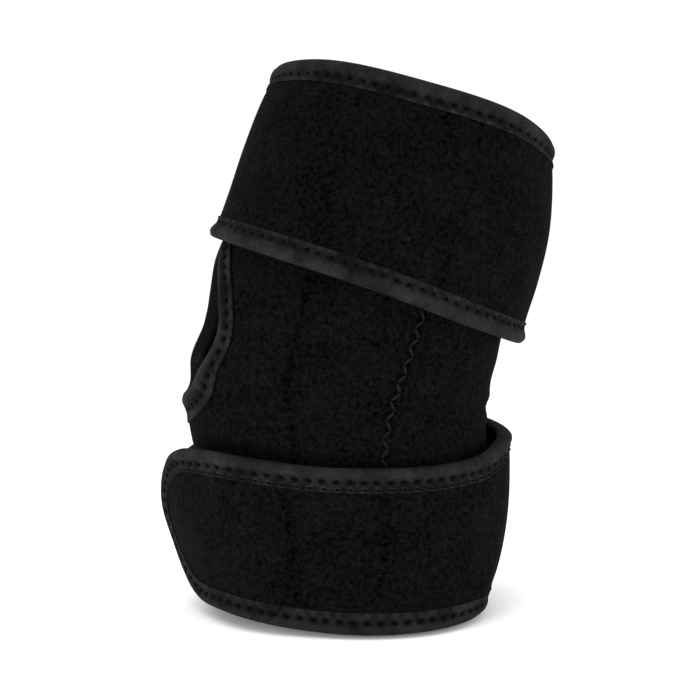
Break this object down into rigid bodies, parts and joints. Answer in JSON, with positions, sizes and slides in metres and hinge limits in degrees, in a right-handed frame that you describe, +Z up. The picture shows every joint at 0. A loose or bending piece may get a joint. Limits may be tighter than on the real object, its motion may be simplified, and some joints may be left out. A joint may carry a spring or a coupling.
{
  "type": "elbow brace",
  "caption": "Bent padded sleeve for the elbow, with a bound oval opening at the point of the elbow and a broad wrap round each end.",
  "frame": {"origin": "under the middle of the whole brace, on the surface that it stands on", "axes": "+X to the crease of the elbow, which the upper arm leans towards; +Y to the back; +Z up along the forearm"},
  "size_m": [0.1554, 0.1192, 0.2132],
  "materials": {
    "loop_fabric": "brushed loop knit on foam",
    "binding_tape": "smooth knit tape"
  },
  "bodies": {
    "root": {"sleeve": "loop_fabric", "lower_rim_binding": "binding_tape", "upper_rim_binding": "binding_tape", "elbow_opening_binding": "binding_tape", "upper_wrap": "loop_fabric", "upper_wrap_binding": "binding_tape", "lower_wrap": "loop_fabric", "lower_wrap_binding": "binding_tape"}
  },
  "joints": []
}
